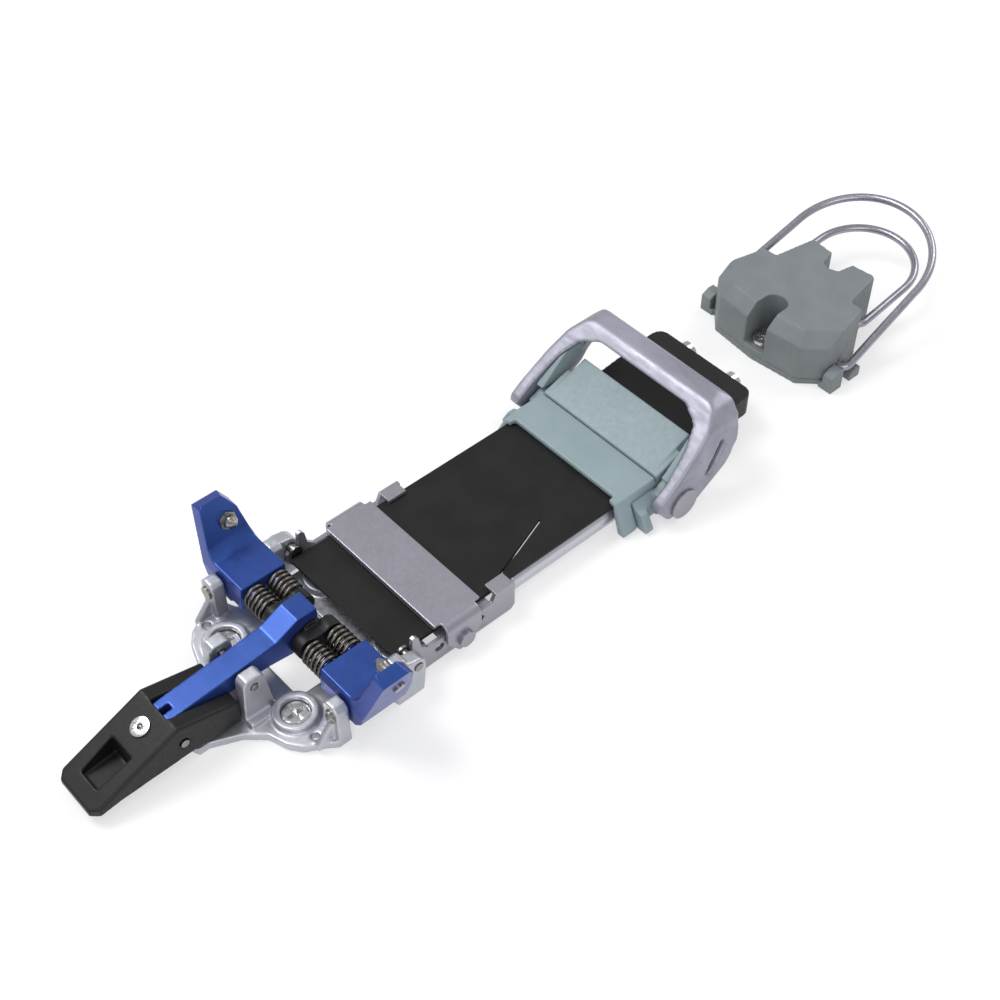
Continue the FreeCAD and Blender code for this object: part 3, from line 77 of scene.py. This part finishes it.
class Nodes:
    """A short way to write a material's node tree."""

    def __init__(self, name):
        self.material = bpy.data.materials.new(name)
        self.material.use_nodes = True
        self.tree = self.material.node_tree
        self.tree.nodes.clear()
        self.out = self.add("ShaderNodeOutputMaterial")
        self.shader = self.add("ShaderNodeBsdfPrincipled")
        self.link(self.shader, "BSDF", self.out, "Surface")
        self.place = self.add("ShaderNodeTexCoord")

    def add(self, kind, **sockets):
        node = self.tree.nodes.new(kind)
        for key, value in sockets.items():
            node.inputs[key.replace("_", " ")].default_value = value
        return node

    def link(self, source, output, target, name):
        self.tree.links.new(source.outputs[output], target.inputs[name])

    def mapped(self, scale, turn=(0, 0, 0)):
        node = self.add("ShaderNodeMapping")
        node.inputs["Scale"].default_value = scale
        node.inputs["Rotation"].default_value = turn
        self.link(self.place, "Object", node, "Vector")
        return node

    def noise(self, scale, detail=3.0, stretch=(1, 1, 1), rough=0.5, turn=(0, 0, 0)):
        node = self.add("ShaderNodeTexNoise", Scale=scale, Detail=detail, Roughness=rough)
        self.link(self.mapped(stretch, turn), "Vector", node, "Vector")
        return node

    def ramp(self, source, output, low, high, at=(0.35, 0.65)):
        node = self.add("ShaderNodeValToRGB")
        for element, position, shade in zip(node.color_ramp.elements, at, (low, high)):
            element.position = position
            element.color = (*shade, 1.0) if hasattr(shade, "__len__") else (shade, shade, shade, 1.0)
        self.link(source, output, node, "Fac")
        return node

    def bump(self, source, output, height_mm, strength=1.0, before=None):
        node = self.add("ShaderNodeBump", Strength=strength, Distance=height_mm * MM)
        self.link(source, output, node, "Height")
        if before is not None:
            self.link(before, "Normal", node, "Normal")
        return node


def shade(base, factor):
    return tuple(min(1.0, part * factor) for part in base)


def worn(name, base, metallic, rough, grain, spread=0.08, stretch=(1, 1, 1), pits=0.0, fine=0.012,
         sway=0.07, grazing_shade=None, **extra):
    """A finish with slow colour drift, a roughness that varies, and a fine grain in its relief."""
    nodes = Nodes(name)
    drift = nodes.noise(90.0, 4.0, stretch)
    tint = nodes.ramp(drift, "Fac", shade(base, 1 - spread), shade(base, 1 + spread))
    if grazing_shade is None:
        nodes.link(tint, "Color", nodes.shader, "Base Color")
    else:
        # Painted shade: faces seen edge-on blend towards the given darker tint, standing in for the shade on side
        # faces.
        grazing = nodes.add("ShaderNodeLayerWeight", Blend=0.35)
        mix = nodes.add("ShaderNodeMixRGB", Color2=(*grazing_shade, 1.0))
        nodes.link(grazing, "Facing", mix, "Fac")
        nodes.link(tint, "Color", mix, "Color1")
        nodes.link(mix, "Color", nodes.shader, "Base Color")
    gloss = nodes.noise(grain * 0.4, 3.0, stretch)
    smear = nodes.ramp(gloss, "Fac", rough - sway, rough + sway)
    nodes.link(smear, "Color", nodes.shader, "Roughness")
    relief = nodes.bump(nodes.noise(grain, 2.0, stretch), "Fac", fine, 0.6)
    if pits:
        coarse = nodes.noise(grain * 0.25, 3.0)
        relief = nodes.bump(coarse, "Fac", pits, 0.7, relief)
    nodes.link(relief, "Normal", nodes.shader, "Normal")
    nodes.shader.inputs["Metallic"].default_value = metallic
    for key, value in extra.items():
        nodes.shader.inputs[key.replace("_", " ")].default_value = value
    return nodes.material


def finishes():
    """Every finish of the binding, by the record's material slot."""
    c = bpy.context.scene.binding_colours
    return {
        "cast_alloy": worn("cast alloy", c.cast, 0.8, 0.40, 1500.0, 0.07, pits=0.05),
        # The blue's extra tint is painted shade: a dark indigo laid on faces seen edge-on.
        "blue_anodised": worn("blue anodised", c.blue, 0.6, 0.30, 900.0, 0.08, fine=0.003, sway=0.025,
                              grazing_shade=(0.05, 0.055, 0.28)),
        "black_plastic": worn("black moulding", c.black, 0.0, 0.45, 2400.0, 0.2, Specular_IOR_Level=0.3),
        "black_plate": worn("black plate", c.plate, 0.0, 0.55, 3200.0, 0.2, Specular_IOR_Level=0.22),
        "spring_steel": worn("spring wire", c.spring, 1.0, 0.30, 2500.0, 0.14),
        "zinc_screw": worn("bright zinc", c.zinc, 1.0, 0.22, 2200.0, 0.06),
        "pin_steel": worn("hardened pin", c.pin, 1.0, 0.26, 3000.0, 0.10),
        "bracket_steel": worn("pressed steel", c.steel, 0.75, 0.36, 2200.0, 0.03, sway=0.03),
        "tube_alloy": worn("drawn tube", c.tube, 0.85, 0.30, 3000.0, 0.05, (1, 0.05, 1)),
        "claw_plastic": worn("claw moulding", c.claw, 0.0, 0.50, 1600.0, 0.04, pits=0.03),
        "bail_alloy": worn("brushed bail", c.bail, 0.5, 0.44, 1300.0, 0.13, (0.25, 1, 1), pits=0.05),
        "heel_plastic": worn("heel moulding", c.post, 0.0, 0.52, 2000.0, 0.06, pits=0.02),
        "wire_steel": worn("drawn wire", c.steel, 0.85, 0.30, 2600.0, 0.08),
    }


FINISH = {}
SLOT_OF = {row["node"]: row["material_slot"] for row in frame["record"]["subparts"]}


def finish_node(node):
    """Give a CAD node its finish, and close the seams that the file's split corners leave."""
    piece = frame["nodes"][node]
    piece.data.materials.clear()
    piece.data.materials.append(FINISH[SLOT_OF[node]])
    piece.modifiers.new("weld", "WELD").merge_threshold = WELD_DISTANCE
    return piece


def dress(node, edge, steps=2, angle=32):
    """A machined or pressed piece: its edges are rounded by a bevel."""
    piece = finish_node(node)
    if edge:
        bevel = piece.modifiers.new("edge", "BEVEL")
        bevel.width = edge
        bevel.segments = steps
        bevel.limit_method = "ANGLE"
        bevel.angle_limit = math.radians(angle)
        bevel.use_clamp_overlap = True
    smooth_by_angle(piece)
    return piece


def mould(node, voxel_mm, passes):
    """A cast or moulded piece: its skin is remade in small cells and relaxed, so corners melt together."""
    piece = finish_node(node)
    skin = piece.modifiers.new("skin", "REMESH")
    skin.mode = "VOXEL"
    skin.voxel_size = voxel_mm * MM
    skin.use_smooth_shade = True
    relax = piece.modifiers.new("relax", "SMOOTH")
    relax.factor = RELAX_FACTOR
    relax.iterations = passes
    return piece


def smooth_by_angle(piece):
    """Smooth shading with the larger faces keeping their own direction."""
    for face in piece.data.polygons:
        face.use_smooth = True
    if piece.data.attributes.get("custom_normal"):
        piece.data.attributes.remove(piece.data.attributes["custom_normal"])
    even = piece.modifiers.new("even normals", "WEIGHTED_NORMAL")
    even.keep_sharp = False
    even.mode = "FACE_AREA"
    even.weight = NORMAL_WEIGHT


# --- operators: one for each piece or group of like pieces --------------------------------------

class Builder(bpy.types.Operator):
    """Base of the operators that dress the binding."""
    bl_options = {"REGISTER"}

    def sizes(self):
        return bpy.context.scene.binding_sizes


def dresser(name, label, text, edges=(), moulds=()):
    """An operator for a group of CAD nodes: edges lists bevelled ones, moulds lists cast ones."""
    def execute(self, context):
        for nodes, edge, steps, angle in edges:
            for node in nodes:
                dress(node, getattr(self.sizes(), edge), steps, angle)
        for nodes, voxel, passes in moulds:
            for node in nodes:
                mould(node, voxel, passes)
        return {"FINISHED"}
    return type(f"BINDING_OT_{name}", (Builder,), {
        "bl_idname": f"binding.{name}", "bl_label": label, "__doc__": text, "execute": execute})


DRESSERS = [
    dresser("toe_base", "Toe Base", "Cast base of the toe", moulds=[(["toe_base"], 0.34, 9)]),
    dresser("toe_fittings", "Toe Fittings", "Axles, hook pins and screws of the toe",
            [(["toe_screws", "lever_axle", "wing_axle_left", "wing_axle_right", "hook_pins"],
              "sheet_edge", 2, 32)]),
    dresser("lever", "Lever", "Lever with its rivet and cross pin",
            [(["lever_rivet", "lever_cross_pin"], "sheet_edge", 3, 32)], [(["lever"], 0.3, 12)]),
    dresser("lever_arm", "Lever Arm", "Blue arm", moulds=[(["lever_arm"], 0.24, 6)]),
    dresser("guide", "Spring Guide", "Black guide between the springs", moulds=[(["spring_guide"], 0.24, 6)]),
    dresser("springs", "Springs", "Springs of the wings", [(
        ["front_spring_left", "rear_spring_left", "front_spring_right", "rear_spring_right"], "no_edge", 1, 60)]),
    dresser("wings", "Wings", "Blue wings with their pins",
            [(["toe_pin_left", "toe_pin_right"], "sheet_edge", 2, 32)], [(["wing_left", "wing_right"], 0.26, 6)]),
    dresser("bracket", "Bracket", "Steel bracket and strap",
            [(["bracket", "strap_rivets"], "sheet_edge", 3, 32)], [(["strap"], 0.24, 5)]),
    dresser("flex_plate", "Flex Plate", "Black plate and its rear end",
            [(["flex_plate"], "sheet_edge", 2, 32)], [(["rear_end"], 0.3, 5)]),
    dresser("cartridges", "Cartridges", "Spring cartridges under the plate", [(
        ["cartridge_tube_left", "cartridge_tube_right", "cartridge_rod_left", "cartridge_rod_right"],
        "sheet_edge", 2, 32), (["cartridge_spring_left", "cartridge_spring_right"], "no_edge", 1, 60)]),
    dresser("claw", "Claw", "Moulded claw, pedal and cheeks",
            moulds=[(["claw_cover", "claw_carrier", "bail_cheek_left", "bail_cheek_right"], 0.4, 12),
                    (["pedal"], 0.34, 8)]),
    dresser("bail", "Bail", "Brushed bail and its pins",
            [(["bail_pins"], "edge", 3, 32)], [(["bail"], 0.45, 40)]),
    dresser("end_screws", "End Screws", "Adjusting screws behind the plate",
            [(["end_screws"], "sheet_edge", 2, 32)]),
    dresser("heel_post", "Heel Post", "Heel block, plate and screws",
            [(["heel_screws", "post_screw"], "sheet_edge", 2, 32)],
            [(["heel_block"], 0.4, 9), (["heel_plate"], 0.3, 8)]),
    dresser("wires", "Riser Wires", "The two riser wires",
            [(["high_riser_wire", "low_riser_wire"], "no_edge", 1, 70)]),
]


class BINDING_OT_finishes(Builder):
    """Make every finish before the pieces that use them."""
    bl_idname = "binding.finishes"
    bl_label = "Finishes"

    def execute(self, context):
        FINISH.update(finishes())
        return {"FINISHED"}


# --- stage --------------------------------------------------------------------------------------

CAMERA_AZIMUTH = math.radians(48.23)
CAMERA_ELEVATION = math.radians(47.29)
CAMERA_TARGET = Vector((-8.81, 88.10, 0.0)) * MM
CAMERA_DISTANCE = 558.36 * MM
CAMERA_LENS = 58.08
SENSOR_WIDTH = 36.0
CLIP_START = 0.01

FLOOR_HALF = 4.0
FLOOR_DROP = 0.05 * MM
GLOW_SHARE = 0.55
SKY_COLOUR = (0.97, 0.98, 1.0, 1.0)
SKY_STRENGTH = 0.55
LAMP_AIM = (0, 0.09, 0)
LAMPS = [  # name, place, size and power
    ("key", (-0.55, -0.25, 1.05), 0.55, 9.0),
    ("fill", (0.75, -0.55, 0.7), 0.8, 4.5),
    ("back", (0.1, 1.0, 0.8), 0.6, 4.5),
]


def paper_material():
    """Pale paper: the camera sees it near white, with the object's shadow kept."""
    nodes = Nodes("studio paper")
    nodes.tree.nodes.remove(nodes.shader)
    grain = nodes.noise(40.0, 2.0)
    tone = nodes.ramp(grain, "Fac", (0.86, 0.86, 0.87), (0.88, 0.88, 0.89))
    matte = nodes.add("ShaderNodeBsdfDiffuse")
    nodes.link(tone, "Color", matte, "Color")
    glow = nodes.add("ShaderNodeEmission", Strength=1.0)
    path = nodes.add("ShaderNodeLightPath")
    seen = nodes.add("ShaderNodeMath")
    seen.operation = "ADD"
    nodes.link(path, "Is Camera Ray", seen, 0)
    nodes.link(path, "Is Glossy Ray", seen, 1)
    share = nodes.add("ShaderNodeMath")
    share.operation = "MULTIPLY"
    share.use_clamp = True
    share.inputs[1].default_value = GLOW_SHARE
    nodes.link(seen, 0, share, 0)
    mix = nodes.add("ShaderNodeMixShader")
    nodes.link(share, 0, mix, "Fac")
    nodes.tree.links.new(matte.outputs[0], mix.inputs[1])
    nodes.tree.links.new(glow.outputs[0], mix.inputs[2])
    nodes.link(mix, 0, nodes.out, "Surface")
    return nodes.material


def lamp(name, place, aim, size, power):
    """A soft area lamp that points at a place."""
    data = bpy.data.lights.new(name, "AREA")
    data.energy = power
    data.size = size
    thing = bpy.data.objects.new(name, data)
    bpy.context.scene.collection.objects.link(thing)
    thing.location = place
    thing.rotation_euler = (Vector(aim) - Vector(place)).to_track_quat("-Z", "Y").to_euler()


class BINDING_OT_stage(Builder):
    """Pale floor, soft studio light and the camera."""
    bl_idname = "binding.stage"
    bl_label = "Stage"

    def execute(self, context):
        self.floor()
        self.light(context)
        self.camera(context)
        context.scene.view_settings.view_transform = "Standard"
        return {"FINISHED"}

    def floor(self):
        mesh = bpy.data.meshes.new("floor")
        half = FLOOR_HALF
        corners = [(-half, -half, 0), (half, -half, 0), (half, half, 0), (-half, half, 0)]
        mesh.from_pydata(corners, [], [(0, 1, 2, 3)])
        floor = bpy.data.objects.new("floor", mesh)
        bpy.context.scene.collection.objects.link(floor)
        floor.location = (0, 0, -FLOOR_DROP)
        mesh.materials.append(paper_material())

    def light(self, context):
        world = bpy.data.worlds.new("studio")
        context.scene.world = world
        world.use_nodes = True
        back = world.node_tree.nodes["Background"]
        back.inputs["Color"].default_value = SKY_COLOUR
        back.inputs["Strength"].default_value = SKY_STRENGTH
        self.white_sky(world.node_tree, back)
        for name, place, size, power in LAMPS:
            lamp(name, place, LAMP_AIM, size, power)

    def white_sky(self, tree, back):
        """What the camera sees past the floor is white, and the light from the sky stays as it is."""
        path = tree.nodes.new("ShaderNodeLightPath")
        white = tree.nodes.new("ShaderNodeBackground")
        mix = tree.nodes.new("ShaderNodeMixShader")
        tree.links.new(path.outputs["Is Camera Ray"], mix.inputs["Fac"])
        tree.links.new(back.outputs[0], mix.inputs[1])
        tree.links.new(white.outputs[0], mix.inputs[2])
        white.inputs["Color"].default_value = (1.0, 1.0, 1.0, 1.0)
        tree.links.new(mix.outputs[0], tree.nodes["World Output"].inputs["Surface"])

    def camera(self, context):
        data = bpy.data.cameras.new("camera")
        camera = bpy.data.objects.new("camera", data)
        context.scene.collection.objects.link(camera)
        a, e = CAMERA_AZIMUTH, CAMERA_ELEVATION
        back = Vector((math.sin(a) * math.cos(e), -math.cos(a) * math.cos(e), math.sin(e)))
        camera.location = CAMERA_TARGET + back * CAMERA_DISTANCE
        camera.rotation_euler = back.to_track_quat("Z", "Y").to_euler()
        data.lens = CAMERA_LENS
        data.sensor_width = SENSOR_WIDTH
        data.clip_start = CLIP_START
        context.scene.camera = camera


ORDER = [BINDING_OT_finishes, *DRESSERS, BINDING_OT_stage]


class BINDING_PT_panel(bpy.types.Panel):
    """The binding's operators, in the order that builds it."""
    bl_idname = "BINDING_PT_panel"
    bl_label = "Touring Binding"
    bl_space_type = "VIEW_3D"
    bl_region_type = "UI"
    bl_category = "Binding"

    def draw(self, context):
        for kind in ORDER:
            self.layout.operator(kind.bl_idname)


CLASSES = [BindingColours, BindingSizes, *ORDER, BINDING_PT_panel]


def register():
    for kind in CLASSES:
        bpy.utils.register_class(kind)
    bpy.types.Scene.binding_colours = bpy.props.PointerProperty(type=BindingColours)
    bpy.types.Scene.binding_sizes = bpy.props.PointerProperty(type=BindingSizes)


def unregister():
    del bpy.types.Scene.binding_sizes
    del bpy.types.Scene.binding_colours
    for kind in reversed(CLASSES):
        bpy.utils.unregister_class(kind)


def main():
    register()
    for kind in ORDER:
        group, name = kind.bl_idname.split(".")
        getattr(getattr(bpy.ops, group), name)()


if __name__ == "__main__":
    main()
